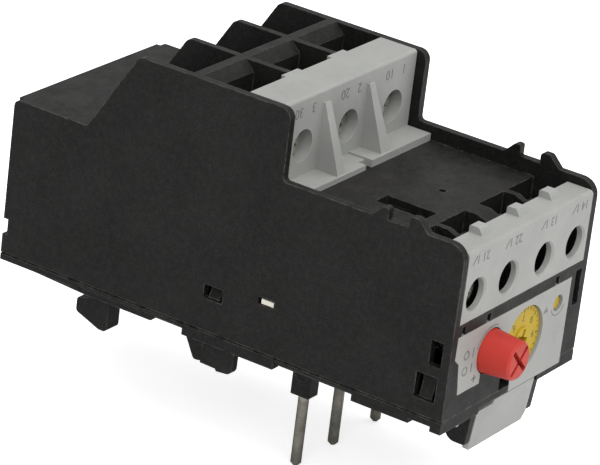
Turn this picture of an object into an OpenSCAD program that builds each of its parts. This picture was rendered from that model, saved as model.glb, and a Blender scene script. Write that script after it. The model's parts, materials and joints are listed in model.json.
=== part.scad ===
// Plug-in thermal overload relay, three poles, one 45 mm module wide.
// X runs across the poles, Y from the operating face to the rear, Z up.
// The origin is where the middle contact pin leaves its collar.
// In the outlines a place is given as distance from the operating face and height above the split.

/* [Body] */
// Width across the two side walls
frame_w = 45; // [40:0.5:56]
// Depth from the operating face to the rear wall
body_d = 95.5; // [90:0.5:120]
// Side and rear wall thickness
wall = 1.5; // [1.2:0.1:2]
// Top of the deck above the split between housing and base
deck_h = 29.8; // [28.5:0.1:36]
// How far the front side walls stand above the deck
rim_rise = 2.8; // [1:0.1:4]
// How far the terminal tower stands above the deck
tower_rise = 16; // [15:0.1:22]
// Deck thickness
deck_t = 1.5; // [1.2:0.1:2]
// Thickness of the base plate
base_t = 1.5; // [1.2:0.1:2]
// How far the skids stand below the base plate
skid_t = 0.9; // [0.5:0.1:1.5]

/* [Tower] */
// Distance from the operating face to the front edge of the tower walls
tower_front = 37.4; // [36:0.1:40]
// Front to back length of the level top of the tower walls
tower_len = 32.2; // [30:0.1:38]
// Front to back length of the sloping rear edge of the tower walls
slope_len = 9.6; // [6:0.1:12]
// Distance between the main terminals
pole_pitch = 14.5; // [13:0.1:17]
// Thickness of the partitions between the poles
part_t = 1.3; // [1:0.1:2]

/* [Contact pins] */
// Distance from the operating face to the row of contact pins
pin_row = 34; // [33:0.1:35]
// Diameter of a contact pin
pin_d = 2; // [1.6:0.1:2.4]
// Free length of a contact pin below its collar
pin_reach = 14.2; // [8:0.1:18]
// Length of a collar below the base plate
collar_h = 8.5; // [7.5:0.1:10]
// Middle pin to left pin
pin_left = 12.1; // [11:0.1:14]
// Middle pin to right pin
pin_right = 14.2; // [13:0.1:15]

/* [Auxiliary terminals] */
// Middle of the relay to an inner auxiliary terminal
aux_inner = 6; // [5.6:0.1:7]
// Inner to outer auxiliary terminal
aux_pitch = 10.7; // [10:0.1:12]
// Height of the auxiliary screws above the split
aux_h = 22.3; // [22:0.1:24]
// Screwdriver hole radius in the auxiliary cover
aux_hole_r = 2.95; // [2.7:0.05:3.2]

/* [Controls] */
// Radius of the reset knob
knob_r = 4.1; // [3.4:0.1:4.9]
// How far the reset knob stands out of the face
knob_out = 6; // [4:0.1:8]
// Reset button travel
reset_travel = 2.5; // [1:0.1:3]
// Test pin travel
test_travel = 1.2; // [0.6:0.1:1.6]
// Radius of the current dial
dial_r = 6.2; // [5:0.1:6.6]
// Radius of the test pin
test_r = 1.2; // [1:0.1:1.5]
// Sideways travel of the trip slides
slide_travel = 1.6; // [1:0.1:2]

/* [Fits] */
// Gap between moulded pieces
gap = 0.2; // [0.1:0.05:0.3]
// Radial running clearance of shafts and pins
run_fit = 0.05; // [0.02:0.01:0.1]

/* [Hidden] */
$fn = 48;
ARC_N = 6;

// colours
BLACK = [0.09, 0.09, 0.09];
GREY = [0.76, 0.76, 0.73];
RED = [0.85, 0.25, 0.2];
YELLOW = [0.92, 0.78, 0.1];
STEEL = [0.72, 0.72, 0.7];
COPPER = [0.75, 0.45, 0.28];
BRASS = [0.78, 0.62, 0.32];
SILVER = [0.85, 0.85, 0.86];
NATURAL = [0.88, 0.86, 0.8];

// overall places
split_z = collar_h + base_t;
half_w = frame_w / 2;
in_w = half_w - wall;
rim_h = deck_h + rim_rise;
tower_h = deck_h + tower_rise;
tower_back = tower_front + tower_len;
slope_foot = tower_back + slope_len;
ceiling_h = deck_h - deck_t;

// ears of the front side walls
ear_rise = 2.1;
ear_front = [7.6, 11.6];
ear_rear = [15.8, 19.1];
ear_slope = 2.1;

// tower
cover_face = tower_front + 1.9;
cover_t = 1.4;
cover_back = tower_front + 9.8;
fin_front = cover_back + 1.2;
cross_wall = [tower_front + 17.7, tower_front + 21.9];
cross_slope = 2;
screw_h = deck_h + 6.7;
// left edge, right edge at the top and right edge at the foot of each gusset
gussets = [[-9.3, -7.6, -6.8], [4.9, 6.3, 8]];
gusset_h = [deck_h + 1, deck_h + 13.5];
gusset_reach = 5;
main_hole_r = 3.1;
main_head_r = 2.5;
main_shank_r = 2;
clamp_y = [tower_front + 6.7, tower_front + 16.2];
clamp_half = 4;
clamp_wall = 1.3;
clamp_h = [deck_h + 1.2, deck_h + 10.2];
bar_y = clamp_y[0] + 2.4;
bar_t = 1;
bar_half = 2.5;
bar_h = ceiling_h - 1.6;
slot_half = bar_half + gap;

// auxiliary terminals
shelf_h = 17.7;
shelf_t = 1.5;
pocket_back = 12.4;
aux_top = deck_h + 1.3;
aux_cover_back = 5.4;
aux_x = [-aux_inner - aux_pitch, -aux_inner, aux_inner, aux_inner + aux_pitch];
aux_rib = aux_inner + aux_pitch / 2;
aux_screw_y = [2.1, 3.2, 3.2, 3.2];
aux_rim = 0.35;
aux_head_r = 2.4;
aux_shank_r = 1.5;
aux_clamp_y = [4.6, 11.5];
aux_clamp_h = [shelf_h + 0.4, shelf_h + 8.6];
aux_clamp_half = 3;
aux_clamp_wall = 0.9;
aux_tab_x = [-aux_rib, 1, aux_rib + 0.6];
aux_strip_y = 6.6;
aux_strip_t = 0.8;
aux_strip_half = 2;
strip_h = 15.2;

// controls
skin = 1.2;
front_t = 2.4;
label_t = 1;
part_line = 0.3;
knob_x = -9;
knob_front = knob_r - 0.5;
knob_slot = 1.3;
knob_h = 9.4;
dial_x = 2.8;
dial_h = 7.8;
test_x = 13.7;
test_h = 11.5;
bracket_y = [13, 14];
stem_r = 2;
tail_r = 0.8;
stop_y = front_t + 0.1;
stop_t = 1;
dial_in = 0.6;
dial_t = 1.2;
shaft_r = 2.5;
cam_y = [9.2, 10.8];
cam_r = 3.75;
cam_rise = 0.75;
cam_turn = 135;
lever_x = 16.5;
lever_h = 3.5;

// contact pins and poles
shoulder_r = pin_d / 2 + 0.35;
collar_half = shoulder_r + run_fit + 0.4;
pin_x = [-pin_left, 0, pin_right];
pole_x = [-pole_pitch, 0, pole_pitch];
lead_h = 5;
strip_low = 12;
strip_high = 17;
strip_half = 0.45;
coil_y = 50;
coil_n = 10;
coil_pitch = 2.4;
turn_w = 1.5;
carrier_y = [80, 88];

// trip slides
slide_h = 9;
slide_t = 0.9;
slide_w = 2.6;
trip_y = pin_row + 2.3;
diff_y = trip_y + slide_w + 0.4;
finger_h = 14;
finger_gap = 0.3;
finger_t = 1.2;
push_x = pin_right - 0.2;
comp_y = 20;
comp_x = push_x + 0.55;
lever_top = 12.2;
rocker_x = -1.5;
rocker_y = 21;
rocker_arm = [-8, 10.6];
rocker_half = 0.8;
// free play left before a pressed button meets what it works on
reset_play = 2.3;
test_play = 0.4;
stem_end = rocker_y - rocker_half - reset_play - reset_travel;
tail_end = bracket_y[1] + 0.2;
comp_front = tail_end + test_travel + test_play;
upright_r = 0.8;

// auxiliary contacts
nc_y = [24, 26];
no_y = [24, 26.8];
contact_x = [7.8, 11.2];
contact_low = 9.8;
rivet_h = 11.4;
rivet_r = 1.2;
rivet_t = 0.6;

// snap windows
mid_window = [46.9, 50.9, 6.1, 8.7];
front_window = [2, 6.2, 2.9, 7.7];
side_slot = [1.7, 4.1, 9.6, 14.3];

// latch
flap_half = 9.6;
flap_t = 1.2;
flap_top = -1.7;
flap_low = -10.3;
flap_step = 0.7;
flap_y = 0.3;
flap_tilt = 6;
latch_y = 3.5;
latch_h = -5;
latch_r = 0.75;
cheek_t = 1.3;
cheek_low = -8.6;
cheek_x = flap_half + gap + 0.1;

// ---- outline helpers -------------------------------------------------

function unit(v) = v / norm(v);
function flat2(p) = [p[0], p[1]];
function turn(a, b) = (b - a + 540) % 360 - 180;
function arc_at(p, q, r, rad) =
  let (u = unit(p - q), v = unit(r - q), half = acos(u * v) / 2)
  let (c = q + unit(u + v) * rad / sin(half))
  let (s = q + u * rad / tan(half) - c, e = q + v * rad / tan(half) - c)
  let (a0 = atan2(s[1], s[0]), sweep = turn(a0, atan2(e[1], e[0])))
  [for (k = [0 : ARC_N]) c + rad * [cos(a0 + sweep * k / ARC_N), sin(a0 + sweep * k / ARC_N)]];
// Turns a list of [a, b] and [a, b, radius] corners into a polygon with rounded corners
function rounded(pts) =
  let (n = len(pts))
  [for (i = [0 : n - 1])
    each (len(pts[i]) < 3 ? [pts[i]] :
      arc_at(flat2(pts[(i + n - 1) % n]), flat2(pts[i]), flat2(pts[(i + 1) % n]), pts[i][2]))];
function mirror_x(x) = [-x[1], -x[0]];

// ---- solid helpers: x across, y from the face, h above the split ----------

module place(x = 0, y = 0, h = 0) translate([x, y - pin_row, h + split_z]) children();

module block(x, y, h)
  place(x[0], y[0], h[0]) cube([x[1] - x[0], y[1] - y[0], h[1] - h[0]]);

// outline in y and h, drawn out across x
module across(x, pts)
  place(x[0], 0, 0) rotate([90, 0, 90]) linear_extrude(x[1] - x[0]) polygon(pts);

// outline in x and h, drawn out along y
module along(y, pts)
  place(0, y[1], 0) rotate([90, 0, 0]) linear_extrude(y[1] - y[0]) polygon(pts);

module rod_x(x, y, h, r) place(x[0], y, h) rotate([0, 90, 0]) cylinder(r = r, h = x[1] - x[0]);
module rod_y(x, y, h, r) place(x, y[0], h) rotate([-90, 0, 0]) cylinder(r = r, h = y[1] - y[0]);
module rod_z(x, y, h, r) place(x, y, h[0]) cylinder(r = r, h = h[1] - h[0]);
module both_sides() {
  children();
  mirror([1, 0, 0]) children();
}

// Round wire wound on a cylinder, drawn along +Z from the origin
module coil(mean_r, wire_r, turns, length) {
  sides = 6;
  steps = turns * 14;
  rise = length - 2 * wire_r;
  pts = [
    for (i = [0 : steps], j = [0 : sides - 1])
      let (a = 360 * turns * i / steps, b = 360 * j / sides, r = mean_r + wire_r * cos(b))
      [r * cos(a), r * sin(a), wire_r + rise * i / steps + wire_r * sin(b)]
  ];
  faces = [
    for (i = [0 : steps - 1], j = [0 : sides - 1])
      let (k = (j + 1) % sides)
      each [
        [i * sides + j, (i + 1) * sides + k, i * sides + k],
        [i * sides + j, (i + 1) * sides + j, (i + 1) * sides + k]
      ]
  ];
  ends = [[for (j = [0 : sides - 1]) j], [for (j = [sides - 1 : -1 : 0]) steps * sides + j]];
  polyhedron(points = pts, faces = concat(faces, ends), convexity = 10);
}

// ---- outlines -----------------------------------------------------------------

side_outline = rounded([
  [0, 0],
  [0, rim_h, 3],
  [ear_front[0], rim_h],
  [ear_front[0] + ear_slope, rim_h + ear_rise, 0.7],
  [ear_front[1], rim_h + ear_rise, 0.7],
  [ear_front[1], rim_h],
  [ear_rear[0], rim_h],
  [ear_rear[0], rim_h + ear_rise, 0.4],
  [ear_rear[1] - ear_slope, rim_h + ear_rise, 0.7],
  [ear_rear[1], rim_h],
  [tower_front, rim_h, 0.8],
  [tower_front, tower_h, 1.9],
  [tower_back, tower_h, 1.6],
  [slope_foot, deck_h, 1],
  [body_d, deck_h, 1.2],
  [body_d, 0]
]);

fin_outline = rounded([
  [fin_front, deck_h],
  [fin_front, tower_h],
  [tower_back, tower_h, 1.6],
  [slope_foot, deck_h]
]);

// The label plate, grown by g on every side: the cut-out clears the latch window
function label_outline(g) = [
  [-in_w + 0.3 - g, 15.4 + g],
  [-in_w + 0.2 - g, 11.2 - g],
  [-19.4 - g, 10 - g],
  [-18.4 - g, 3.9 - g],
  [-11.3 + g, 3.9 - g],
  [-11.3 + g, 6.6 - g],
  [-6 - g, 6.6 - g],
  [-6 - g, 4.4 - g],
  [-0.2 - g, 4.4 - g],
  [-0.2 - g, -1.3 - g],
  [17.5 + g, -1.3 - g],
  [17.5 + g, 15.4 + g]
];

// ---- housing -------------------------------------------------------------------

module housing_shell() {
  both_sides() across([-half_w, -in_w], side_outline);
  // rear wall
  block([-in_w, in_w], [body_d - wall, body_d], [0, deck_h]);
  // deck
  block([-in_w, in_w], [pocket_back, body_d - wall], [ceiling_h, deck_h]);
  // operating face
  block([-in_w, in_w], [0, front_t], [0, shelf_h]);
  // shelf and rear wall of the auxiliary terminal chamber
  block([-in_w, in_w], [front_t, pocket_back + wall], [shelf_h - shelf_t, shelf_h]);
  block([-in_w, in_w], [pocket_back, pocket_back + wall], [shelf_h, ceiling_h]);
  for (s = [-1, 1]) aux_partition(s * aux_rib, part_t / 2);
  aux_partition(0, 2.2);
  // fins between the poles, lower under the cover
  both_sides() {
    across([(pole_pitch - part_t) / 2, (pole_pitch + part_t) / 2], fin_outline);
    block(
      [(pole_pitch - part_t) / 2, (pole_pitch + part_t) / 2],
      [cover_face + cover_t + gap, fin_front],
      [deck_h, tower_h - cover_t - gap]
    );
  }
  // cross wall with its sloping lead-in
  across([-in_w, in_w], rounded([
    [cross_wall[0], deck_h],
    [cross_wall[0], tower_h - cross_slope],
    [cross_wall[0] + cross_slope, tower_h],
    [cross_wall[1], tower_h, 0.5],
    [cross_wall[1], deck_h]
  ]));
  // boss for the adjusting lever's pin
  rod_y(lever_x, [front_t, 7], lever_h, 2.2);
}

module aux_partition(x, half)
  across([x - half, x + half], rounded([
    [2.2, shelf_h],
    [2.2, aux_top - cover_t - gap - 1.6, 1],
    [aux_cover_back + 0.6, aux_top - cover_t - gap - 1.2, 2],
    [pocket_back - 2.4, deck_h, 1.5],
    [pocket_back, deck_h],
    [pocket_back, shelf_h]
  ]));

module housing() color(BLACK) difference() {
  housing_shell();
  // pocket for the label plate, and the black windows left of the dial
  along([-1, skin], label_outline(0.1));
  block([-3.9, -0.4], [-1, front_t + 1], [-1, 2.6]);
  // deep slot beside the right wall
  block([18.9, in_w - 0.1], [-1, front_t + 1], [9.3, shelf_h - shelf_t]);
  // dark notches over the label
  for (x = [-19.2, -11, 12.2]) block([x - 0.6, x + 0.6], [-1, skin], [15.4, shelf_h - 0.6]);
  // control openings
  rod_y(knob_x, [-1, front_t + 1], knob_h, knob_r + gap);
  rod_y(dial_x, [-1, front_t + 1], dial_h, shaft_r + run_fit);
  rod_y(dial_x, [-1, dial_in + dial_t], dial_h, dial_r + gap);
  rod_y(test_x, [-1, front_t + 1], test_h, test_r + run_fit);
  rod_y(lever_x, [front_t + 0.6, 8], lever_h, 1);
  // snap windows and slots in the side walls
  both_sides() {
    side_window(mid_window);
    side_window(front_window);
    side_window(side_slot);
    // rear corners are notched for the rear snaps
    block([half_w - 6.5, half_w + 1], [body_d - 1, body_d + 1], [3.6, 6.6]);
  }
  // opening at the end of the trip slide
  block([-half_w - 1, -in_w + 1], [trip_y - 0.1, trip_y + slide_w + 0.6], [8.9, 10.2]);
  // latch slot and tool hole in the deck
  block([-11, -7.3], [15, 25.3], [ceiling_h - 1, deck_h + 1]);
  rod_z(2.3, 19.9, [ceiling_h - 1, deck_h + 1], 0.7);
  // slots for the terminal strips
  for (x = pole_x)
    block([x - slot_half, x + slot_half], [bar_y - gap, bar_y + bar_t + gap], [ceiling_h - 1, deck_h + 1]);
  for (x = aux_x)
    block(
      [x - aux_strip_half - 0.1, x + aux_strip_half + 0.1],
      [aux_strip_y - 0.1, aux_strip_y + aux_strip_t + 0.1],
      [shelf_h - shelf_t - 1, shelf_h + 1]
    );
}

module side_window(w) block([in_w - 1, half_w + 1], [w[0], w[1]], [w[2], w[3]]);

// ---- base ------------------------------------------------------------------------

module base_plate() color(BLACK) difference() {
  union() {
    block([-half_w, half_w], [0, body_d], [-base_t, 0]);
    // skids along the edges
    block([-half_w, half_w], [0, 2.2], [-base_t - skid_t, -base_t]);
    both_sides() {
      for (y = [[6.6, 18.4], [35, 54.6]]) block([half_w - 2, half_w], y, [-base_t - skid_t, -base_t]);
      // rear skid, set in from the edge and running out towards the rear
      across([half_w - 2.6, half_w - 0.6], [
        [61.8, -base_t],
        [61.8, -base_t - skid_t],
        [76, -base_t - skid_t],
        [body_d - 1.2, -base_t]
      ]);
      snap_tongue(mid_window);
      snap_tongue(front_window);
      side_foot();
      rear_hook();
      // cheeks of the latch
      across([cheek_x, cheek_x + cheek_t], rounded([
        [flap_y, -base_t],
        [flap_y + 0.8, cheek_low, 0.4],
        [5, cheek_low, 2.2],
        [6.5, -base_t]
      ]));
    }
    for (x = pin_x) pin_collar(x);
    // locating rib inside the rear wall
    block([-in_w + 1, in_w - 1], [body_d - wall - 1.2, body_d - wall - gap], [0, 4]);
    // bracket behind the reset button and the test pin
    block([knob_x - 3.6, knob_x + 3.6], bracket_y, [0, knob_h + 3.6]);
    block([test_x - 2.6, test_x + 2.6], bracket_y, [0, test_h + 2.2]);
    // rails under the trip slides
    for (x = [-17.6, 6.8])
      block([x, x + 1.4], [trip_y - 0.6, diff_y + slide_w + 0.6], [0, slide_h - 0.1]);
    // bosses of the upright pins
    rod_z(comp_x, comp_y, [0, slide_h - 0.2], upright_r + 1.1);
    rod_z(rocker_x, rocker_y, [0, 5.8], 2.4);
  }
  // parting line under the side walls
  both_sides() block([half_w - part_line, half_w + 1], [-1, body_d + 1], [-part_line, 0.1]);
  // the label plate laps over the front edge
  along([-1, skin], label_outline(0.1));
  // shallow recess behind the latch, and room for the flap's upper edge
  difference() {
    block([-cheek_x - 2, cheek_x + 2], [-1, latch_y + 4.5], [-base_t - 0.01, -base_t + 0.2]);
    both_sides() block([cheek_x, cheek_x + cheek_t], [-1, latch_y + 4.5], [-base_t - 1, 0]);
    block([-half_w, half_w], [-2, 2.2], [-base_t - 1, 0]);
  }
  block([-cheek_x, cheek_x], [-1, 2.7], [-base_t - skid_t - 1, -1.2]);
  for (x = pin_x) rod_z(x, pin_row, [-base_t - collar_h - 1, 1], shoulder_r + run_fit);
  rod_y(knob_x, [bracket_y[0] - 1, bracket_y[1] + 1], knob_h, stem_r + run_fit);
  rod_y(test_x, [bracket_y[0] - 1, bracket_y[1] + 1], test_h, tail_r + run_fit);
  rod_z(comp_x, comp_y, [2, slide_h + 1], upright_r);
  rod_z(rocker_x, rocker_y, [2, 7], 1);
  rod_x([-half_w, half_w], latch_y, latch_h, latch_r);
  // chamfered lower edges between the skids
  both_sides()
    for (y = [[18.4, 35], [54.6, body_d - 18]])
      along(y, [
        [half_w - 0.6, -base_t - 0.1],
        [half_w - 0.6, -base_t],
        [half_w + 0.1, -base_t + 0.7],
        [half_w + 0.1, -base_t - 0.1]
      ]);
}

module snap_tongue(w) {
  // upright tongue inside the wall, with a wedge that springs into the window
  block([in_w - 1.2, in_w - 0.1], [w[0] + 0.6, w[1] - 0.6], [0, w[3] - 0.2]);
  place(0, w[1] - 0.8, 0) rotate([90, 0, 0]) linear_extrude(w[1] - w[0] - 1.6) polygon([
    [in_w - 0.1, w[2] + 0.2],
    [half_w - 0.4, w[2] + 0.2],
    [in_w - 0.1, w[3] - 0.6]
  ]);
}

module pin_collar(x) difference() {
  place(x, pin_row, -base_t - collar_h) linear_extrude(collar_h) polygon(rounded([
    [-collar_half, -collar_half - 0.2, 0.4],
    [collar_half, -collar_half - 0.2, 0.8],
    [collar_half, collar_half + 0.2, 0.4],
    [-collar_half, collar_half + 0.2, 0.4]
  ]));
  // shallow round recess in the side of the collar
  rod_x([x - collar_half - 1, x - collar_half + 0.2], pin_row, -base_t - collar_h + 4.6, 1.5);
}

// flat foot beside the wall that locates in the contactor
module side_foot() {
  across([half_w - 2.2, half_w - 0.6], rounded([
    [43.5, -base_t],
    [43.6, -6.8, 1.2],
    [46.9, -7.1, 0.2],
    [47.1, -6.7],
    [50.4, -6.6],
    [50.4, -base_t]
  ]));
  across([half_w - 2.8, half_w - 1.4], rounded([
    [50.2, -base_t],
    [50.2, -6.6],
    [52.4, -6.9, 0.8],
    [54.8, -2.4],
    [54.8, -base_t]
  ]));
}

// hook whose toe points to the rear
module rear_hook()
  across([half_w - 8.7, half_w - 5], rounded([
    [74, -base_t],
    [74, -10.4, 0.8],
    [75.8, -10.4, 0.6],
    [81.1, -8.4, 0.8],
    [81.1, -5.6, 0.8],
    [78.4, -5],
    [78.4, -base_t]
  ]));

// ---- covers and label ----------------------------------------------------------

module main_terminal_cover() color(GREY) difference() {
  union() {
    across([-in_w + gap, in_w - gap], rounded([
      [cover_face, deck_h],
      [cover_face, tower_h, 0.6],
      [cover_back, tower_h],
      [cover_back, tower_h - cover_t],
      [cover_face + cover_t, tower_h - cover_t],
      [cover_face + cover_t, deck_h]
    ]));
    // tabs over the ends of the fins
    both_sides()
      block([pole_pitch / 2 - 2.5, pole_pitch / 2 + 2.5], [cover_back, fin_front - gap],
        [tower_h - cover_t, tower_h]);
    // feet on the deck
    block([-in_w + gap, -0.6], [cover_face - 5.1, cover_face], [deck_h, deck_h + 1]);
    block([-0.6, 1.4], [cover_face - 3.4, cover_face], [deck_h, deck_h + 1]);
    block([1.4, in_w - gap], [cover_face - 5.1, cover_face], [deck_h, deck_h + 1.4]);
    // gussets between the poles
    for (g = gussets) intersection() {
      across([g[0] - 1, g[2] + 1], [
        [cover_face + 0.5, gusset_h[1]],
        [cover_face - 0.5, gusset_h[1]],
        [cover_face - gusset_reach, gusset_h[0] - 0.5],
        [cover_face + 0.5, gusset_h[0] - 0.5]
      ]);
      along([cover_face - gusset_reach - 1, cover_face + 1], [
        [g[0], gusset_h[0] - 1],
        [g[0], gusset_h[1] + 1],
        [g[1], gusset_h[1] + 1],
        [g[2], gusset_h[0] - 1]
      ]);
    }
    // screwdriver guides
    for (x = pole_x) rod_y(x, [cover_face + cover_t, cover_face + 2.6], screw_h, main_hole_r + 0.8);
  }
  for (x = pole_x) rod_y(x, [cover_face - 1, cover_face + 4], screw_h, main_hole_r);
}

module aux_terminal_cover() color(GREY) difference() {
  union() {
    across([-in_w + gap, in_w - gap], rounded([
      [0, shelf_h + 0.1],
      [0, aux_top, 0.8],
      [aux_cover_back, aux_top],
      [aux_cover_back, aux_top - cover_t],
      [cover_t, aux_top - cover_t],
      [cover_t, shelf_h + 0.1]
    ]));
    // stop tabs over the partitions
    for (x = aux_tab_x)
      across([x - 1.3, x + 1.3], rounded([
        [2.6, aux_top - 0.1],
        [3.5, aux_top + 1.3, 0.3],
        [aux_cover_back, aux_top + 1.3, 0.3],
        [aux_cover_back, aux_top - 0.1]
      ]));
  }
  for (x = aux_x) {
    rod_y(x, [-1, 4], aux_h, aux_hole_r);
    // countersunk rim
    place(x, -0.1, aux_h) rotate([-90, 0, 0])
      cylinder(r1 = aux_hole_r + aux_rim + 0.1, r2 = aux_hole_r, h = aux_rim + 0.1);
  }
}

module front_label() color(GREY) difference() {
  along([0, label_t], label_outline(0));
  rod_y(knob_x, [-1, 2], knob_h, knob_r + gap);
  rod_y(dial_x, [-1, 2], dial_h, dial_r + gap);
  rod_y(test_x, [-1, 2], test_h, test_r + 0.4);
}

// ---- reset button -----------------------------------------------------------------

module reset_plunger() color(NATURAL) {
  rod_y(knob_x, [-knob_out + 1.6, stem_end], knob_h, stem_r);
  rod_y(knob_x, [stop_y, stop_y + stop_t], knob_h, knob_r + 0.8);
}

module reset_knob() color(RED) difference() {
  union() {
    place(knob_x, 0, knob_h) rotate([90, 0, 0])
      cylinder(r1 = knob_r, r2 = knob_front, h = knob_out - 0.4);
    place(knob_x, -knob_out + 0.4, knob_h) rotate([90, 0, 0])
      cylinder(r1 = knob_front, r2 = knob_front - 0.4, h = 0.4);
    rod_y(knob_x, [0, 1], knob_h, knob_r);
  }
  rod_y(knob_x, [-knob_out + 1.5, 2], knob_h, stem_r + run_fit);
  // cross slot
  for (a = [45, 135])
    place(knob_x, -knob_out, knob_h) rotate([0, a, 0])
      cube([2 * knob_front - 0.9, 2 * knob_slot, 0.9], center = true);
}

module reset_spring() color(STEEL)
  place(knob_x, stop_y + stop_t, knob_h) rotate([-90, 0, 0])
    coil(stem_r + 0.8, 0.25, 6, bracket_y[0] - stop_y - stop_t);

// ---- current dial --------------------------------------------------------------------

// radius of the cam at angle a, measured from straight down, and its outline
function cam_at(a) = cam_r + cam_rise * a / cam_turn;
cam_outline = [
  for (a = [-cam_turn : 7.5 : cam_turn])
    [dial_x, dial_h] + cam_at(a) * [sin(a), -cos(a)]
];

module current_dial() color(YELLOW) difference() {
  union() {
    rod_y(dial_x, [dial_in, dial_in + dial_t - 0.1], dial_h, dial_r);
    rod_y(dial_x, [dial_in - 0.3, dial_in], dial_h, 2.2);
    rod_y(dial_x, [dial_in + dial_t - 0.1, cam_y[1]], dial_h, shaft_r);
    along(cam_y, cam_outline);
  }
  for (a = [20, 110])
    place(dial_x, dial_in, dial_h) rotate([0, a, 0]) cube([3.6, 1.4, 0.8], center = true);
}

module adjusting_lever() color(NATURAL) difference() {
  union() {
    rod_y(lever_x, [cam_y[0] + 0.1, cam_y[1] - 0.1], lever_h, 2.2);
    along([cam_y[0] + 0.1, cam_y[1] - 0.1], rounded([
      [dial_x - 1, 1.8, 0.4],
      [lever_x, lever_h - 1.7],
      [lever_x, lever_h + 0.6],
      [dial_x + 1.4, 3.1],
      [dial_x + 0.8, dial_h - cam_r - 0.25, 0.2],
      [dial_x - 0.8, dial_h - cam_r - 0.25, 0.2],
      [dial_x - 1, 3]
    ]));
  }
  rod_y(lever_x, [0, 20], lever_h, 1 + run_fit);
}

module adjusting_pin() color(STEEL) rod_y(lever_x, [front_t + 0.6, cam_y[1] + 0.8], lever_h, 1);

// ---- test pin --------------------------------------------------------------------------

module test_pin() color(YELLOW) {
  rod_y(test_x, [0.5, stop_y], test_h, test_r);
  rod_y(test_x, [stop_y, stop_y + stop_t], test_h, test_r + 0.8);
  rod_y(test_x, [stop_y + stop_t, tail_end], test_h, tail_r);
}

module test_spring() color(STEEL)
  place(test_x, stop_y + stop_t, test_h) rotate([-90, 0, 0])
    coil(tail_r + 0.6, 0.2, 7, bracket_y[0] - stop_y - stop_t);

// ---- latch -------------------------------------------------------------------------------

module latch_flap() color(GREY) difference() {
  union() {
    place(0, flap_y, flap_top) rotate([flap_tilt, 0, 0]) rotate([90, 0, 0])
      translate([0, 0, -flap_t]) linear_extrude(flap_t) polygon(rounded([
        [-flap_half, -flap_step],
        [-4.4, -flap_step],
        [-4, 0],
        [flap_half, 0],
        [flap_half - 0.2, flap_low - flap_top + 1.6, 0.6],
        [flap_half - 1.2, flap_low - flap_top + 0.2, 0.6],
        [-flap_half - 0.1, flap_low - flap_top + 0.2, 0.3],
        [-flap_half, flap_low - flap_top + 2]
      ]));
    both_sides() across([flap_half - 1.4, flap_half], rounded([
      [1.2, latch_h + 2.6],
      [latch_y + 1.5, latch_h + 1.5, 1.4],
      [latch_y + 1.5, latch_h - 1.5, 1.4],
      [1.6, latch_h - 2.6]
    ]));
  }
  rod_x([-half_w, half_w], latch_y, latch_h, latch_r + run_fit);
}

module latch_pin() color(STEEL)
  rod_x([-cheek_x - cheek_t, cheek_x + cheek_t], latch_y, latch_h, latch_r);

module latch_spring() color(STEEL)
  place(-3, latch_y, latch_h) rotate([0, 90, 0]) coil(1.2, 0.2, 8, 6);

// ---- main current path -----------------------------------------------------------------

module contact_pin(i) color(STEEL) {
  x = pin_x[i];
  low = -base_t - collar_h;
  rod_z(x, pin_row, [low - pin_reach + 0.6, low], pin_d / 2);
  place(x, pin_row, low - pin_reach) cylinder(r1 = pin_d / 2 - 0.55, r2 = pin_d / 2, h = 0.6);
  rod_z(x, pin_row, [low, lead_h], shoulder_r);
}

module bimetal(i) color(STEEL)
  block([pin_x[i] - strip_half, pin_x[i] + strip_half], [trip_y + 0.5, carrier_y[1] - 1],
    [strip_low, strip_high]);

// Resistance ribbon wound round the bimetal, with a lead at each end
module heater(i) color(BRASS) {
  x = pin_x[i];
  coil_end = coil_y + coil_pitch * (coil_n - 1);
  for (k = [0 : coil_n - 1]) {
    y = coil_y + coil_pitch * k;
    difference() {
      block([x - 1.7, x + 1.7], [y, y + turn_w], [strip_low - 1.2, strip_high + 1.2]);
      block([x - 0.9, x + 0.9], [y - 1, y + 3], [strip_low - 0.4, strip_high + 0.4]);
    }
  }
  block([x - 0.6, x + 0.6], [coil_y, coil_end + turn_w], [strip_high + 1.1, strip_high + 1.6]);
  block([x - 1, x + 1], [pin_row - 1, coil_y + turn_w], [lead_h, lead_h + 0.8]);
  block([x - 1, x + 1], [coil_y, coil_y + turn_w], [lead_h + 0.8, strip_low - 1.1]);
  block([x - 1, x + 1], [coil_end, coil_end + turn_w], [strip_high + 1.1, bar_h]);
}

// Strip from the heater, under the deck and up into the terminal
module busbar(i) color(COPPER) {
  x = pole_x[i];
  block([x - bar_half, x + bar_half], [bar_y, coil_y + coil_pitch * coil_n + 2], [bar_h, bar_h + bar_t]);
  block([x - bar_half, x + bar_half], [bar_y, bar_y + bar_t], [bar_h, screw_h + 2.4]);
}

module bimetal_carrier() color(BLACK) difference() {
  block([-in_w + 1.5, in_w - 1.5], carrier_y, [0, strip_high + 3]);
  for (x = pin_x)
    block([x - strip_half, x + strip_half], [carrier_y[0] - 1, carrier_y[1] - 1],
      [strip_low, strip_high]);
}

// ---- terminals ----------------------------------------------------------------------------

module main_clamps() color(STEEL) for (x = pole_x) difference() {
  block([x - clamp_half, x + clamp_half], clamp_y, clamp_h);
  block([x - clamp_half + clamp_wall, x + clamp_half - clamp_wall],
    [clamp_y[0] + clamp_wall, clamp_y[1] - clamp_wall], [clamp_h[0] - 1, clamp_h[1] + 1]);
  rod_y(x, [clamp_y[0] - 1, clamp_y[0] + clamp_wall + 0.5], screw_h, main_shank_r);
}

module screw(x, y, h, head_r, head_t, shank_r, tip_y) difference() {
  union() {
    rod_y(x, [y, y + head_t], h, head_r);
    rod_y(x, [y + head_t, tip_y], h, shank_r);
  }
  for (a = [40, 130])
    place(x, y, h) rotate([0, a, 0]) cube([1.5 * head_r, head_t, 0.7], center = true);
}

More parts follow.
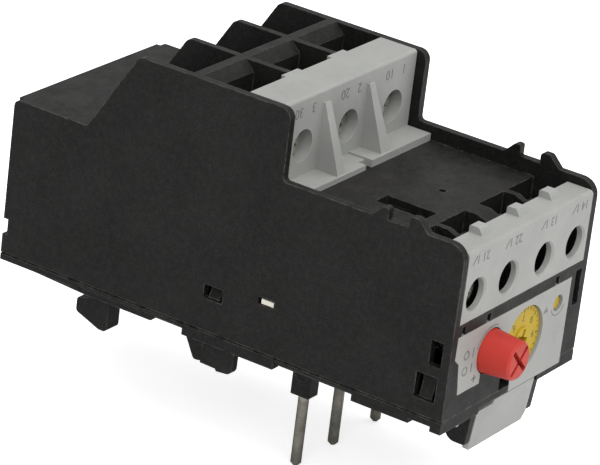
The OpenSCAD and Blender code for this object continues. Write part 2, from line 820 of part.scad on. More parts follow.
module main_screws() color(SILVER)
  for (x = pole_x)
    screw(x, cover_face + 2.2, screw_h, main_head_r, 1.8, main_shank_r - run_fit, bar_y - run_fit);

module aux_clamps() color(STEEL) for (x = aux_x) difference() {
  half_in = aux_clamp_half - aux_clamp_wall;
  block([x - aux_clamp_half, x + aux_clamp_half], aux_clamp_y, aux_clamp_h);
  block([x - half_in, x + half_in], [aux_clamp_y[0] + aux_clamp_wall, aux_clamp_y[1] - aux_clamp_wall],
    [aux_clamp_h[0] - 1, aux_clamp_h[1] + 1]);
  rod_y(x, [aux_clamp_y[0] - 1, aux_clamp_y[0] + aux_clamp_wall + 0.5], aux_h, aux_shank_r);
}

module aux_screws() color(SILVER)
  for (i = [0 : len(aux_x) - 1])
    screw(aux_x[i], aux_screw_y[i], aux_h, aux_head_r, 1.3, aux_shank_r - run_fit,
      aux_strip_y - run_fit);

// ---- trip mechanism --------------------------------------------------------------------------

module trip_slide() color(NATURAL) {
  y = [trip_y, trip_y + slide_w];
  finger_x = strip_half + finger_gap;
  block([-half_w + gap, pin_right + finger_x + finger_t], y, [slide_h, slide_h + slide_t]);
  for (x = pin_x) block([x + finger_x, x + finger_x + finger_t], y, [slide_h, finger_h]);
  // arm that pushes the compensating lever
  block([push_x - 1.4, push_x], [trip_y - 5.4, trip_y], [slide_h, slide_h + slide_t]);
  block([push_x - 1.4, push_x], [trip_y - 5.4, trip_y - 3.6], [slide_h, lever_top]);
}

module differential_slide() color(NATURAL) {
  y = [diff_y, diff_y + slide_w];
  // at the end of its travel a finger still stands clear of its bimetal
  finger_x = strip_half + finger_gap + slide_travel + 0.25;
  block([-pin_left - 6.4, pin_right + 1.3], y, [slide_h, slide_h + slide_t]);
  for (x = pin_x) block([x - finger_x - finger_t, x - finger_x], y, [slide_h, finger_h]);
}

module compensating_lever() color(BRASS) difference() {
  union() {
    rod_z(comp_x, comp_y, [slide_h, finger_h], upright_r + 1.1);
    block([push_x + 0.15, push_x + 0.95], [comp_front, trip_y - 2.4], [slide_h, lever_top]);
  }
  rod_z(comp_x, comp_y, [0, 20], upright_r + run_fit);
}

module compensating_pin() color(STEEL) rod_z(comp_x, comp_y, [2, finger_h + 0.8], upright_r);

module trip_rocker() color(RED) difference() {
  union() {
    rod_z(rocker_x, rocker_y, [6, 13.6], 2.6);
    block([rocker_x + rocker_arm[0], rocker_x + rocker_arm[1]],
      [rocker_y - rocker_half, rocker_y + rocker_half], [7, 12.6]);
    // nose that holds the closed contact
    block([rocker_x + rocker_arm[0], rocker_x + rocker_arm[0] + 1.2],
      [rocker_y, nc_y[0] - 0.05], [contact_low, 12.6]);
  }
  rod_z(rocker_x, rocker_y, [0, 20], 1 + run_fit);
}

module rocker_pin() color(STEEL) rod_z(rocker_x, rocker_y, [2, 14.4], 1);

// Spring strip of one auxiliary terminal, folded down to its contact face
module contact_strip(x, face_x, face_y) {
  strip_x = [x - aux_strip_half, x + aux_strip_half];
  strip_z = [strip_h, strip_h + aux_strip_t];
  face_t = [face_y, face_y + aux_strip_t];
  block(strip_x, [aux_strip_y, aux_strip_y + aux_strip_t], [strip_h, shelf_h + 8]);
  block(strip_x, [aux_strip_y, face_t[1]], strip_z);
  block([min(strip_x[0], face_x[0]), max(strip_x[1], face_x[1])], face_t, [lever_top + 0.6, strip_z[1]]);
  block(face_x, face_t, [contact_low, strip_z[1]]);
}

module nc_moving_contact() color(COPPER) contact_strip(aux_x[1], mirror_x(contact_x), nc_y[0]);
module nc_fixed_contact() color(COPPER) contact_strip(aux_x[0], mirror_x(contact_x), nc_y[1]);
module no_moving_contact() color(COPPER) contact_strip(aux_x[2], contact_x, no_y[0]);
module no_fixed_contact() color(COPPER) contact_strip(aux_x[3], contact_x, no_y[1]);

// Silver rivets: the closed pair touches, the open pair stands apart
module contact_rivets() color(SILVER) {
  x = (contact_x[0] + contact_x[1]) / 2;
  nc_mid = (nc_y[0] + aux_strip_t + nc_y[1]) / 2;
  rod_y(-x, [nc_y[0] + aux_strip_t, nc_mid], rivet_h, rivet_r);
  rod_y(-x, [nc_mid, nc_y[1]], rivet_h, rivet_r);
  rod_y(x, [no_y[0] + aux_strip_t, no_y[0] + aux_strip_t + rivet_t], rivet_h, rivet_r);
  rod_y(x, [no_y[1] - rivet_t, no_y[1]], rivet_h, rivet_r);
}

housing();
base_plate();
main_terminal_cover();
aux_terminal_cover();
front_label();
reset_plunger();
reset_knob();
reset_spring();
current_dial();
adjusting_lever();
adjusting_pin();
test_pin();
test_spring();
latch_flap();
latch_pin();
latch_spring();
contact_pin(0);  // contact_pin_1
contact_pin(1);  // contact_pin_2
contact_pin(2);  // contact_pin_3
bimetal(0);  // bimetal_1
bimetal(1);  // bimetal_2
bimetal(2);  // bimetal_3
heater(0);  // heater_1
heater(1);  // heater_2
heater(2);  // heater_3
busbar(0);  // busbar_1
busbar(1);  // busbar_2
busbar(2);  // busbar_3
bimetal_carrier();
main_clamps();
main_screws();
aux_clamps();
aux_screws();
trip_slide();
differential_slide();
compensating_lever();
compensating_pin();
trip_rocker();
rocker_pin();
nc_fixed_contact();
nc_moving_contact();
no_moving_contact();
no_fixed_contact();
contact_rivets();
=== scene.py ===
# %% [markdown]
# # A plug-in thermal overload relay
# The relay protects a motor: three heated bimetal strips sense its current and trip a small switch.
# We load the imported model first. It holds every part at its true place, so nothing is moved here.
# What this script adds is the look of each material, the printed marks, the light and the camera.

# %% Load the model
import json
import math

import bmesh
import bpy
from mathutils import Matrix, Vector


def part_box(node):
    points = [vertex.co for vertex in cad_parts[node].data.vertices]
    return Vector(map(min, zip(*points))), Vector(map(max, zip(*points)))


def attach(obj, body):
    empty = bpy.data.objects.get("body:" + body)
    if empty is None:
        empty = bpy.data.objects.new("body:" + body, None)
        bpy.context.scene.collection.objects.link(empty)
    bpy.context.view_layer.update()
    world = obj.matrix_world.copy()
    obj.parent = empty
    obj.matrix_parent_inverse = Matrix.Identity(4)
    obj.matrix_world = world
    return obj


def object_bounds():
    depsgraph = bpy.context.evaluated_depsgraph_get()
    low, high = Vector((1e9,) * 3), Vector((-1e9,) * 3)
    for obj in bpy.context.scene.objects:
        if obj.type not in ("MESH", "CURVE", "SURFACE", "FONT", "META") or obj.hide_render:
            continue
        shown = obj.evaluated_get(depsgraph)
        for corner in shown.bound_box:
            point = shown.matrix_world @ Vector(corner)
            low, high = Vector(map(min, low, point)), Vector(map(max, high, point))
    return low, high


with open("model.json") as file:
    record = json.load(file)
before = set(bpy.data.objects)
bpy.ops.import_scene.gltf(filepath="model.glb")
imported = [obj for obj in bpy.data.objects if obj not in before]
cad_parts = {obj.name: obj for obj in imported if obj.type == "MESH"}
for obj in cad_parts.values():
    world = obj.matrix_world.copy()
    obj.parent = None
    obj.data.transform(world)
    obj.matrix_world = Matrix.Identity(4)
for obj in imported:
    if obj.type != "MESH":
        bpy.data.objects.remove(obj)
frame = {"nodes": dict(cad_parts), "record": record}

cad_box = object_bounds()
nodes = frame["nodes"]
MM = 0.001

# %% [markdown]
# Printed marks and lights need places on the relay. They are read from the parts themselves, so they
# follow the model.

# %% Places read from the parts
label_low = Vector(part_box("front_label")[0])
knob_low, knob_high = (Vector(v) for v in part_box("reset_knob"))
dial_low, dial_high = (Vector(v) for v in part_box("current_dial"))
test_low, test_high = (Vector(v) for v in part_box("test_pin"))
cover_low, cover_high = (Vector(v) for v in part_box("main_terminal_cover"))
aux_low, aux_high = (Vector(v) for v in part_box("aux_terminal_cover"))
body_low, body_high = (Vector(v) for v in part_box("housing"))
knob_centre = (knob_low + knob_high) / 2
dial_centre = (dial_low + dial_high) / 2
test_centre = (test_low + test_high) / 2
print("case is", [round(v / MM, 1) for v in body_high - body_low], "mm")

# %% [markdown]
# ## Node groups
# The plastics share three effects: the fine grain of the mould, edges rubbed paler by handling, and a
# little dust on faces that look up, which on the black case also paints a paler sheen. Each is a node
# group, built once and set differently by each material. A group only puts out masks and heights, and
# the shader stays in the material.

# %% Helpers for node groups
def new_group(name, inputs, outputs):
    """An empty shader group. Inputs are (name, default), outputs are names; all are plain numbers."""
    group = bpy.data.node_groups.new(name, "ShaderNodeTree")
    for label, default in inputs:
        socket = group.interface.new_socket(label, in_out="INPUT", socket_type="NodeSocketFloat")
        socket.default_value = default
    for label in outputs:
        group.interface.new_socket(label, in_out="OUTPUT", socket_type="NodeSocketFloat")
    source = group.nodes.new("NodeGroupInput")
    target = group.nodes.new("NodeGroupOutput")
    return group, source.outputs, target.inputs


def add(tree, kind, **settings):
    """Adds a node and sets its plain properties."""
    node = tree.nodes.new(kind)
    for key, value in settings.items():
        setattr(node, key, value)
    return node


def wire(tree, source, target):
    """Joins two sockets, or sets the target when the source is a plain value."""
    if isinstance(source, bpy.types.NodeSocket):
        tree.links.new(source, target)
    else:
        target.default_value = source


def maths(tree, operation, a, b=0.0, c=0.0):
    """One math node; a, b and c are sockets or numbers."""
    node = add(tree, "ShaderNodeMath", operation=operation)
    for value, socket in zip((a, b, c), node.inputs):
        wire(tree, value, socket)
    return node.outputs[0]


def ramp_between(tree, value, low, high, to_low=0.0, to_high=1.0):
    """Maps low..high of a value onto to_low..to_high, held at both ends."""
    node = add(tree, "ShaderNodeMapRange", clamp=True)
    for key, item in zip(("Value", "From Min", "From Max", "To Min", "To Max"),
                         (value, low, high, to_low, to_high)):
        wire(tree, item, node.inputs[key])
    return node.outputs["Result"]


def noise(tree, scale, detail=3.0, roughness=0.5, vector=None):
    """Noise over the part's own coordinates, which are metres. The scale is features per metre."""
    node = add(tree, "ShaderNodeTexNoise")
    wire(tree, vector or add(tree, "ShaderNodeTexCoord").outputs["Object"], node.inputs["Vector"])
    wire(tree, scale, node.inputs["Scale"])
    node.inputs["Detail"].default_value = detail
    node.inputs["Roughness"].default_value = roughness
    return node.outputs["Fac"]


# %% The mould's grain
def build_grain():
    """Fine spark-eroded grain: a height for the bump, and two slow masks for tone and polish."""
    group, source, target = new_group(
        "moulded grain", [("Grain Scale", 3200.0), ("Cloud Scale", 90.0)],
        ["Height", "Tone", "Polish"])
    fine = noise(group, source["Grain Scale"], 4.0, 0.6)
    coarse = noise(group, maths(group, "MULTIPLY", source["Grain Scale"], 0.28), 2.0)
    wire(group, maths(group, "ADD", maths(group, "MULTIPLY", fine, 0.7),
                      maths(group, "MULTIPLY", coarse, 0.3)), target["Height"])
    wire(group, noise(group, source["Cloud Scale"], 4.0, 0.55), target["Tone"])
    wire(group, noise(group, maths(group, "MULTIPLY", source["Cloud Scale"], 2.7), 5.0, 0.6),
         target["Polish"])
    return group


# %% Worn edges
def build_edge_wear():
    """A mask of outer edges, broken up by noise. The bevel node bends the normal near an edge."""
    group, source, target = new_group(
        "edge wear", [("Reach", 0.0004), ("Amount", 0.5)], ["Mask"])
    bevel = add(group, "ShaderNodeBevel", samples=6)
    wire(group, source["Reach"], bevel.inputs["Radius"])
    turned = add(group, "ShaderNodeVectorMath", operation="DOT_PRODUCT")
    wire(group, bevel.outputs[0], turned.inputs[0])
    wire(group, add(group, "ShaderNodeNewGeometry").outputs["Normal"], turned.inputs[1])
    edge = ramp_between(group, turned.outputs["Value"], 0.99, 0.82)
    patchy = ramp_between(group, noise(group, 520.0, 5.0, 0.7), 0.40, 0.60)
    wire(group, maths(group, "MULTIPLY", maths(group, "MULTIPLY", edge, patchy), source["Amount"]),
         target["Mask"])
    return group


# %% Dust and painted sheen on upward faces
def build_dust_and_sheen():
    """A mask that grows where a face looks up, with specks and soft clouds: settled dust, and on the black
    case also a painted sheen.
    """
    group, source, target = new_group("settled dust and painted sheen", [("Amount", 0.4)], ["Mask"])
    split = add(group, "ShaderNodeSeparateXYZ")
    wire(group, add(group, "ShaderNodeNewGeometry").outputs["Normal"], split.inputs[0])
    up = ramp_between(group, split.outputs["Z"], 0.2, 1.0, 0.08, 1.0)
    clouds = ramp_between(group, noise(group, 160.0, 6.0, 0.7), 0.4, 0.7, 0.15, 1.0)
    specks = ramp_between(group, noise(group, 2600.0, 2.0, 0.5), 0.69, 0.76)
    both = maths(group, "ADD", maths(group, "MULTIPLY", clouds, 0.55), specks)
    wire(group, maths(group, "MULTIPLY", maths(group, "MULTIPLY", both, up), source["Amount"]),
         target["Mask"])
    return group


# %% Drawing lines of a metal
def build_draw_lines():
    """Fine lines along Z, as rolling or drawing leaves them, plus a dull film."""
    group, source, target = new_group(
        "drawn metal", [("Across", 5200.0), ("Along", 260.0)], ["Height", "Film"])
    mapping = add(group, "ShaderNodeMapping")
    wire(group, add(group, "ShaderNodeTexCoord").outputs["Object"], mapping.inputs["Vector"])
    spread = add(group, "ShaderNodeCombineXYZ")
    wire(group, source["Across"], spread.inputs["X"])
    wire(group, source["Across"], spread.inputs["Y"])
    wire(group, source["Along"], spread.inputs["Z"])
    wire(group, spread.outputs[0], mapping.inputs["Scale"])
    wire(group, noise(group, 1.0, 2.0, 0.5, mapping.outputs["Vector"]), target["Height"])
    wire(group, noise(group, 420.0, 5.0, 0.65), target["Film"])
    return group


GRAIN = build_grain()
EDGE_WEAR = build_edge_wear()
DUST_AND_SHEEN = build_dust_and_sheen()
DRAW_LINES = build_draw_lines()
print("groups:", [g.name for g in bpy.data.node_groups])

# %% [markdown]
# ## Materials
# A moulded plastic is one shader whose colour drifts a little, turns paler where edges are rubbed and
# greyer where dust lies; on the black case that dust also paints a paler sheen on faces that look up.
# Its roughness follows the polish of the mould. Metals get drawing lines instead of grain, and a dull
# film. Colours are linear values, so black plastic is well under 0.01.

# %% Helpers for materials
def place_group(tree, group, **values):
    """Puts a group in a material with its own values."""
    node = tree.nodes.new("ShaderNodeGroup")
    node.node_tree = group
    for key, value in values.items():
        node.inputs[key.replace("_", " ")].default_value = value
    return node.outputs


def blend_colours(tree, mask, first, second):
    """Mixes two colours, each a socket or an RGB triple, by a mask."""
    node = add(tree, "ShaderNodeMix", data_type="RGBA", clamp_factor=True)
    wire(tree, mask, node.inputs["Factor"])
    for value, socket in ((first, node.inputs["A"]), (second, node.inputs["B"])):
        wire(tree, (*value, 1.0) if isinstance(value, tuple) else value, socket)
    return node.outputs["Result"]


def bump(tree, height, distance, strength, shader):
    """Feeds a height through a bump node into the shader's normal."""
    node = add(tree, "ShaderNodeBump")
    node.inputs["Strength"].default_value = strength
    node.inputs["Distance"].default_value = distance
    wire(tree, height, node.inputs["Height"])
    wire(tree, node.outputs["Normal"], shader.inputs["Normal"])


def blank_material(name):
    """A material with nothing but its shader."""
    material = bpy.data.materials.new(name)
    material.use_nodes = True
    return material, material.node_tree, material.node_tree.nodes["Principled BSDF"]


# %% Moulded plastic
def moulded_plastic(name, colour, worn, rough=(0.45, 0.6), drift=0.25, grain=3200.0, bump_mm=0.02,
                    bump_strength=0.5, wear=0.5, dust_and_sheen=0.3, dust_and_sheen_colour=(0.32, 0.31, 0.29), shine=0.5,
                    speck=0.02):
    """One moulded plastic: colour, the paler colour of its worn edges, and its range of roughness.

    The shine is how strongly it mirrors, and the speck is how much paler the tops of its grain are.
    The dust amount and colour lay dust on upward faces; on the black case they also paint a paler sheen.
    """
    material, tree, shader = blank_material(name)
    shader.inputs["Specular IOR Level"].default_value = shine
    grain_out = place_group(tree, GRAIN, Grain_Scale=grain)
    edge = place_group(tree, EDGE_WEAR, Amount=wear)["Mask"]
    # dust on upward faces; on the black case it also paints the paler sheen of its decks
    dust_and_sheen_mask = place_group(tree, DUST_AND_SHEEN, Amount=dust_and_sheen)["Mask"]
    darker = tuple(c * (1.0 - drift) for c in colour)
    lighter = tuple(min(1.0, c * (1.0 + drift)) for c in colour)
    tone = ramp_between(tree, grain_out["Tone"], 0.3, 0.7)
    tops = ramp_between(tree, grain_out["Height"], 0.46, 0.60, 0.0, speck)
    body = blend_colours(tree, tops, blend_colours(tree, tone, darker, lighter), worn)
    rubbed = blend_colours(tree, edge, body, worn)
    wire(tree, blend_colours(tree, dust_and_sheen_mask, rubbed, dust_and_sheen_colour), shader.inputs["Base Color"])
    gloss = ramp_between(tree, grain_out["Polish"], 0.3, 0.7, rough[0], rough[1])
    wire(tree, maths(tree, "ADD", gloss, maths(tree, "MULTIPLY", dust_and_sheen_mask, 0.3)), shader.inputs["Roughness"])
    bump(tree, grain_out["Height"], bump_mm * MM, bump_strength, shader)
    return material


# %% Metal
def plain_metal(name, colour, dull, rough=(0.25, 0.45), across=5200.0, along=260.0, strength=0.3):
    """One bare or plated metal with its dull film."""
    material, tree, shader = blank_material(name)
    lines = place_group(tree, DRAW_LINES, Across=across, Along=along)
    film = ramp_between(tree, lines["Film"], 0.35, 0.7)
    wire(tree, blend_colours(tree, film, colour, dull), shader.inputs["Base Color"])
    wire(tree, ramp_between(tree, lines["Film"], 0.3, 0.75, *rough), shader.inputs["Roughness"])
    shader.inputs["Metallic"].default_value = 1.0
    bump(tree, lines["Height"], 0.01 * MM, strength, shader)
    return material


# %% The finishes of this relay
FINISHES = {
    # the black case's strong, pale dust also paints a sheen on its decks, where light would make one
    "black_plastic": moulded_plastic("black case plastic", (0.0072, 0.0072, 0.0070), (0.085, 0.083, 0.078),
                                     rough=(0.40, 0.54), wear=0.9, dust_and_sheen=0.16, shine=0.12, speck=0.10,
                                     bump_mm=0.06, bump_strength=1.0, dust_and_sheen_colour=(0.16, 0.15, 0.14)),
    "grey_plastic": moulded_plastic("light grey cover plastic", (0.265, 0.27, 0.257), (0.38, 0.38, 0.365),
                                    rough=(0.40, 0.52), drift=0.07, wear=0.5, dust_and_sheen=0.10, speck=0.12,
                                    bump_strength=0.4, dust_and_sheen_colour=(0.21, 0.20, 0.18)),
    "red_plastic": moulded_plastic("coral red knob plastic", (0.41, 0.030, 0.021), (0.52, 0.09, 0.06),
                                   rough=(0.4, 0.5), drift=0.08, wear=0.35, dust_and_sheen=0.02,
                                   bump_strength=0.3, shine=0.25),
    "rocker_plastic": moulded_plastic("brown red rocker plastic", (0.26, 0.05, 0.03), (0.36, 0.11, 0.08),
                                      drift=0.1, dust_and_sheen=0.02),
    "yellow_plastic": moulded_plastic("dial yellow plastic", (0.40, 0.27, 0.006), (0.48, 0.36, 0.06),
                                      rough=(0.36, 0.48), drift=0.06, wear=0.3, dust_and_sheen=0.02,
                                      bump_strength=0.25, shine=0.2),
    "natural_plastic": moulded_plastic("unpigmented plastic", (0.66, 0.64, 0.55), (0.76, 0.75, 0.7),
                                       rough=(0.35, 0.5), drift=0.06, dust_and_sheen=0.04, bump_strength=0.25),
    "spring_steel": plain_metal("spring wire", (0.52, 0.52, 0.53), (0.36, 0.36, 0.37)),
    "ground_steel": plain_metal("ground pin steel", (0.6, 0.6, 0.61), (0.45, 0.45, 0.46), (0.18, 0.34)),
    "tinned_pin": plain_metal("tinned contact pin", (0.28, 0.27, 0.235), (0.13, 0.125, 0.105), (0.28, 0.5),
                              strength=0.5),
    "bimetal": plain_metal("bimetal strip", (0.5, 0.47, 0.42), (0.34, 0.31, 0.27), (0.3, 0.5)),
    "heater_alloy": plain_metal("oxidised heater ribbon", (0.4, 0.3, 0.2), (0.17, 0.13, 0.1), (0.4, 0.65)),
    "copper": plain_metal("rolled copper", (0.72, 0.34, 0.2), (0.4, 0.19, 0.12), (0.25, 0.48)),
    "zinc_steel": plain_metal("zinc plated steel", (0.58, 0.6, 0.6), (0.42, 0.42, 0.4), (0.25, 0.45)),
    "nickel_steel": plain_metal("nickel plated screw", (0.68, 0.66, 0.6), (0.45, 0.43, 0.38), (0.2, 0.4)),
    "silver": plain_metal("silver rivet", (0.82, 0.81, 0.78), (0.6, 0.58, 0.54), (0.2, 0.38)),
}
print("finishes:", len(FINISHES))

# %% [markdown]
# ## Dressing the parts
# Moulded parts never have knife edges: the mould leaves a small radius. A bevel modifier rounds only the
# edges that turn sharply, so the flat faces keep their shape. Its width is a share of a millimetre, and
# thin parts take less.

# %% Materials and soft edges for every part
SOFT_EDGE = {"housing": 0.22, "base_plate": 0.2, "main_terminal_cover": 0.2, "aux_terminal_cover": 0.2,
             "front_label": 0.1, "reset_knob": 0.18, "current_dial": 0.08, "latch_flap": 0.14}
DEFAULT_EDGE = 0.06
NO_EDGE = {"reset_spring", "test_spring", "latch_spring"}


def soften(part, width_mm):
    """A small two-step bevel on edges that turn more than 35 degrees."""
    modifier = part.modifiers.new("soft edges", "BEVEL")
    modifier.width = width_mm * MM
    modifier.segments = 2
    modifier.limit_method = "ANGLE"
    modifier.angle_limit = math.radians(35)
    modifier.use_clamp_overlap = True
    modifier.harden_normals = True


for entry in frame["record"]["subparts"]:
    part = nodes[entry["node"]]
    part.data.materials.clear()
    part.data.materials.append(FINISHES[entry["material_slot"]])
    if part.name not in NO_EDGE:
        soften(part, SOFT_EDGE.get(part.name, DEFAULT_EDGE))
print("dressed", len(nodes), "parts")

# %% [markdown]
# ## Printed marks
# The covers carry small grey numbers over their terminals, and the dial has a scale with a pointer on
# the plate beside it. Pad printing leaves a film of ink, so each mark is a very thin solid that stands
# just proud of its face. All marks lie in planes that face the operator, so one helper draws them flat,
# in x and z, and another turns the drawing into one mesh. The relay lies with its pins down, which is
# upside down against its usual mounting, so its numbers are turned by half a turn.

# %% Helpers for printed marks
INK_THICK = 0.03 * MM
HALF_TURN = math.pi


def turned(x, z, angle):
    """A flat point turned about the origin."""
    return x * math.cos(angle) - z * math.sin(angle), x * math.sin(angle) + z * math.cos(angle)


def flat_number(text, height):
    """The outline faces of a short number in Blender's own plain font, centred on the origin."""
    curve = bpy.data.curves.new("number", "FONT")
    curve.body = text
    curve.size = height / 0.7
    curve.align_x = "CENTER"
    curve.align_y = "CENTER"
    curve.resolution_u = 3
    holder = bpy.data.objects.new("number", curve)
    bpy.context.scene.collection.objects.link(holder)
    graph = bpy.context.evaluated_depsgraph_get()
    mesh = bpy.data.meshes.new_from_object(holder.evaluated_get(graph))
    bpy.data.objects.remove(holder)
    bpy.data.curves.remove(curve)
    return mesh


def stamp_number(drawing, text, x, z, height, angle=HALF_TURN):
    """Adds a number to a drawing, centred at x and z and turned by the angle."""
    mesh = flat_number(text, height)
    points = []
    for vertex in mesh.vertices:
        dx, dz = turned(vertex.co.x, vertex.co.y, angle)
        points.append(drawing.verts.new((x + dx, 0.0, z + dz)))
    for polygon in mesh.polygons:
        drawing.faces.new([points[i] for i in polygon.vertices])
    bpy.data.meshes.remove(mesh)


def stamp_outline(drawing, x, z, outline, angle=0.0):
    """Adds one flat shape, given by its corners around x and z."""
    corners = []
    for corner in outline:
        dx, dz = turned(*corner, angle)
        corners.append(drawing.verts.new((x + dx, 0.0, z + dz)))
    drawing.faces.new(corners)


def stamp_bar(drawing, x, z, length, width, angle=0.0):
    """Adds a straight stroke; at angle 0 its length runs along x."""
    a, b = length / 2, width / 2
    stamp_outline(drawing, x, z, [(-a, -b), (a, -b), (a, b), (-a, b)], angle)


def stamp_ring(drawing, x, z, radius, width, start=0.0, end=2 * math.pi, steps=32):
    """Adds a ring, or a part of one, as a row of short pieces that share their corners."""
    rows = []
    for k in range(steps + 1):
        a = start + (end - start) * k / steps
        rows.append([drawing.verts.new((x + r * math.cos(a), 0.0, z + r * math.sin(a)))
                     for r in (radius - width / 2, radius + width / 2)])
    for first, second in zip(rows, rows[1:]):
        drawing.faces.new((first[0], first[1], second[1], second[0]))


def finish_print(drawing, name, face_y, ink, body):
    """Gives the flat drawing its thickness, puts it on its face and makes it ride on its body."""
    bmesh.ops.remove_doubles(drawing, verts=drawing.verts, dist=0.002 * MM)
    bmesh.ops.recalc_face_normals(drawing, faces=drawing.faces)
    flat = list(drawing.faces)
    grown = bmesh.ops.extrude_face_region(drawing, geom=flat, use_keep_orig=True)["geom"]
    for item in grown:
        if isinstance(item, bmesh.types.BMVert):
            item.co.y -= INK_THICK
    bmesh.ops.translate(drawing, verts=drawing.verts, vec=(0.0, face_y, 0.0))
    bmesh.ops.recalc_face_normals(drawing, faces=drawing.faces)
    mesh = bpy.data.meshes.new(name)
    drawing.to_mesh(mesh)
    drawing.free()
    piece = bpy.data.objects.new(name, mesh)
    bpy.context.scene.collection.objects.link(piece)
    mesh.materials.append(ink)
    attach(piece, body)
    print(name, "has", len(mesh.polygons), "faces")
    return piece


# %% Ink
def printing_ink(name, colour, faded):
    """Ink that thins out in patches, as pad printing does on a grained face."""
    material, tree, shader = blank_material(name)
    worn = ramp_between(tree, noise(tree, 2200.0, 4.0, 0.6), 0.42, 0.62)
    wire(tree, blend_colours(tree, worn, colour, faded), shader.inputs["Base Color"])
    wire(tree, ramp_between(tree, worn, 0.0, 1.0, 0.45, 0.65), shader.inputs["Roughness"])
    return material


GREY_INK = printing_ink("grey marking ink", (0.10, 0.10, 0.095), (0.19, 0.19, 0.18))
GREEN_INK = printing_ink("dial scale ink", (0.05, 0.08, 0.02), (0.14, 0.15, 0.02))

# %% Numbers on the terminal covers
FOOT_REACH = 5.1 * MM          # the cover's feet stand this far in front of its face
MAIN_NUMBER_DROP = 2.6 * MM    # from the top of the cover to the middle of the numbers
MAIN_DIGIT = 1.9 * MM          # height of a digit
AUX_NUMBER_DROP = 3.2 * MM
AUX_DIGIT = 1.7 * MM
AUX_PITCH = 10.7 * MM          # between the two auxiliary terminals on one side
SIGN_STROKE = 0.25 * MM        # width of a stroke in a contact's sign
CONTACT_SLANT = math.radians(50)   # the slanted stroke of a contact's sign
main_face_y = cover_low.y + FOOT_REACH
main_screws_low, main_screws_high = (Vector(v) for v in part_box("main_screws"))
aux_screws_low, aux_screws_high = (Vector(v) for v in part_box("aux_screws"))
main_head_r = (main_screws_high.z - main_screws_low.z) / 2
aux_head_r = (aux_screws_high.z - aux_screws_low.z) / 2
main_first_x = main_screws_low.x + main_head_r
aux_first_x = aux_screws_low.x + aux_head_r

terminal_numbers = bmesh.new()
for pole in (-1, 0, 1):
    x = -pole * main_first_x
    z = cover_high.z - MAIN_NUMBER_DROP
    stamp_number(terminal_numbers, str(2 - pole), x + 2.4 * MM, z, MAIN_DIGIT)
    stamp_number(terminal_numbers, f"{2 - pole}0", x - 2.2 * MM, z, MAIN_DIGIT)
finish_print(terminal_numbers, "main_terminal_numbers", main_face_y, GREY_INK, "relay_body")

aux_inner_x = -aux_first_x - AUX_PITCH
contact_numbers = bmesh.new()
for number, x in (("21", aux_first_x), ("22", -aux_inner_x), ("13", aux_inner_x), ("14", -aux_first_x)):
    z = aux_high.z - AUX_NUMBER_DROP
    stamp_number(contact_numbers, number, x + 1.6 * MM, z, AUX_DIGIT)
    stamp_bar(contact_numbers, x - 0.9 * MM, z, SIGN_STROKE, 1.6 * MM)
    stamp_bar(contact_numbers, x - 2.0 * MM, z, 1.9 * MM, SIGN_STROKE, CONTACT_SLANT)
finish_print(contact_numbers, "aux_terminal_numbers", aux_low.y, GREY_INK, "relay_body")

# %% Scale on the dial
DIAL_FACE_DROP = 0.3 * MM      # the dial's hub stands this far in front of its scale
dial_r = (dial_high.x - dial_low.x) / 2
dial_face_y = dial_low.y + DIAL_FACE_DROP

scale = bmesh.new()
TICKS = 25
SCALE_START, SCALE_END = math.radians(-50), math.radians(230)
for k in range(TICKS):
    angle = SCALE_START + (SCALE_END - SCALE_START) * k / (TICKS - 1)
    long = k % 4 == 0
    length = (0.15 if long else 0.09) * dial_r
    reach = 0.95 * dial_r - length / 2
    width = (0.28 if long else 0.18) * MM
    stamp_bar(scale, dial_centre.x + reach * math.cos(angle), dial_centre.z + reach * math.sin(angle),
              length, width, angle)
    if long:
        reach = 0.66 * dial_r
        stamp_number(scale, str(10 - k // 4), dial_centre.x + reach * math.cos(angle),
                     dial_centre.z + reach * math.sin(angle), 1.35 * MM)
finish_print(scale, "dial_scale", dial_face_y, GREEN_INK, "dial")

# %% Marks on the label plate
label_marks = bmesh.new()
pointer_angle = math.radians(27)
pointer_r = dial_r + 1.15 * MM
stamp_outline(label_marks, dial_centre.x + pointer_r * math.cos(pointer_angle),
              dial_centre.z + pointer_r * math.sin(pointer_angle),
              [(-0.75 * MM, 0.0), (0.7 * MM, -0.65 * MM), (0.7 * MM, 0.65 * MM)], pointer_angle)
# two rows of a ring and a stroke beside the knob
knob_r = (knob_high.x - knob_low.x) / 2
for z_step in (1.6, -1.4):
    x = knob_centre.x - knob_r - 3.9 * MM
    z = knob_centre.z + z_step * MM
    stamp_ring(label_marks, x, z, 0.75 * MM, 0.3 * MM)
    stamp_bar(label_marks, x + 2.2 * MM, z, 0.3 * MM, 1.7 * MM)
# a small cross below them
cross_x = knob_centre.x - knob_r - 0.3 * MM
cross_z = knob_centre.z - knob_r + 0.2 * MM
stamp_bar(label_marks, cross_x, cross_z, 1.5 * MM, 0.3 * MM)
stamp_bar(label_marks, cross_x, cross_z, 0.3 * MM, 1.5 * MM)
# an arc around the knob and one around the test pin
stamp_ring(label_marks, knob_centre.x, knob_centre.z, knob_r + 0.7 * MM, 0.25 * MM,
           math.radians(70), math.radians(160), 16)
stamp_ring(label_marks, test_centre.x, test_centre.z, 2.3 * MM, 0.2 * MM,
           math.radians(200), math.radians(340), 16)
finish_print(label_marks, "label_marks", label_low.y, GREY_INK, "relay_body")

# %% [markdown]
# ## Stage, light and camera
# A pale floor runs on behind the relay. Soft area lights stand in for a studio's boxes: a large one
# overhead for the decks, and two on the camera's side for the faces that it sees. Neither of those two
# stands where the black walls would mirror it into the lens, so black stays black.

# %% Floor
FLOOR_GLOW = 0.65     # only the lens sees it: it thins the shadows and lights nothing


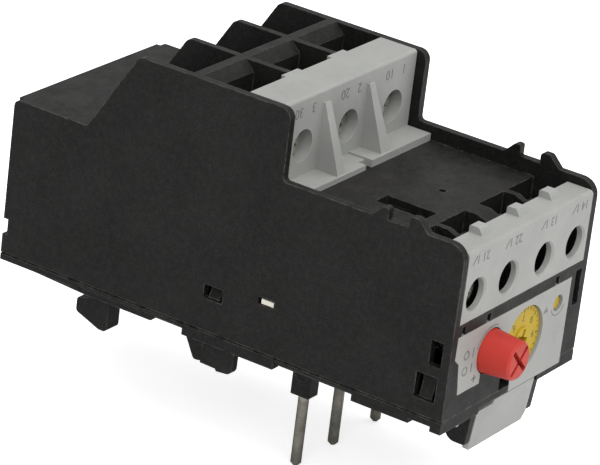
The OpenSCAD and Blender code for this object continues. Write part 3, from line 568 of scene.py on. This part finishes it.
def build_floor(height):
    """A wide sheet that meets the tips of the contact pins."""
    size = 3.0
    mesh = bpy.data.meshes.new("floor")
    corners = [(-size, -size, height), (size, -size, height), (size, size, height), (-size, size, height)]
    mesh.from_pydata(corners, [], [(0, 1, 2, 3)])
    floor = bpy.data.objects.new("floor", mesh)
    bpy.context.scene.collection.objects.link(floor)
    material, tree, shader = blank_material("pale studio floor")
    tone = ramp_between(tree, noise(tree, 30.0, 3.0), 0.3, 0.7)
    wire(tree, blend_colours(tree, tone, (0.86, 0.86, 0.86), (0.9, 0.9, 0.9)), shader.inputs["Base Color"])
    shader.inputs["Roughness"].default_value = 0.7
    shader.inputs["Emission Color"].default_value = (1.0, 1.0, 1.0, 1.0)
    seen = add(tree, "ShaderNodeLightPath").outputs["Is Camera Ray"]
    wire(tree, maths(tree, "MULTIPLY", seen, FLOOR_GLOW), shader.inputs["Emission Strength"])
    mesh.materials.append(material)
    return floor


build_floor(cad_box[0][2])


# %% Lights
def area_light(name, place, target, size, power):
    """A square soft box at a place, aimed at a target."""
    data = bpy.data.lights.new(name, "AREA")
    data.shape = "SQUARE"
    data.size = size
    data.energy = power
    light = bpy.data.objects.new(name, data)
    light.location = place
    direction = Vector(target) - Vector(place)
    light.rotation_euler = direction.to_track_quat("-Z", "Y").to_euler()
    bpy.context.scene.collection.objects.link(light)
    return light


middle = (body_low + body_high) / 2
area_light("overhead", (0.10, -0.20, 0.85), middle, 0.9, 5.0)
area_light("front box", (-0.25, -0.60, 0.70), middle, 0.5, 3.0)
area_light("left fill", (-0.80, -0.30, 0.50), middle, 0.5, 2.2)

world = bpy.data.worlds.new("studio air")
bpy.context.scene.world = world
world.use_nodes = True
world.node_tree.nodes["Background"].inputs["Color"].default_value = (1.0, 1.0, 1.0, 1.0)
world.node_tree.nodes["Background"].inputs["Strength"].default_value = 0.65
bpy.context.scene.view_settings.view_transform = "Standard"

# %% [markdown]
# The camera stands to the front left, a little above the relay, and far away with a long lens, so the
# edges stay nearly parallel. Its three directions are given as vectors, and together they make its
# rotation.

# %% Camera
CAMERA_PLACE = Vector((-0.56595, -0.33131, 0.30161))
CAMERA_FORWARD = Vector((0.78807, 0.47860, -0.38715)).normalized()
CAMERA_RIGHT = Vector((0.55609, -0.82323, 0.11426)).normalized()
LENS_MM = 240.4

camera_data = bpy.data.cameras.new("camera")
camera_data.sensor_width = 36.0
camera_data.lens = LENS_MM
camera_data.clip_start = 0.05
camera = bpy.data.objects.new("camera", camera_data)
up = CAMERA_RIGHT.cross(CAMERA_FORWARD)
turn = Matrix((CAMERA_RIGHT, up, -CAMERA_FORWARD)).transposed().to_4x4()
camera.matrix_world = Matrix.Translation(CAMERA_PLACE) @ turn
bpy.context.scene.collection.objects.link(camera)
bpy.context.scene.camera = camera
print("camera is", round((CAMERA_PLACE - middle).length, 3), "m from the middle of the case")

# %% [markdown]
# Last, the view layer is brought up to date.

# %% Finish
bpy.context.view_layer.update()
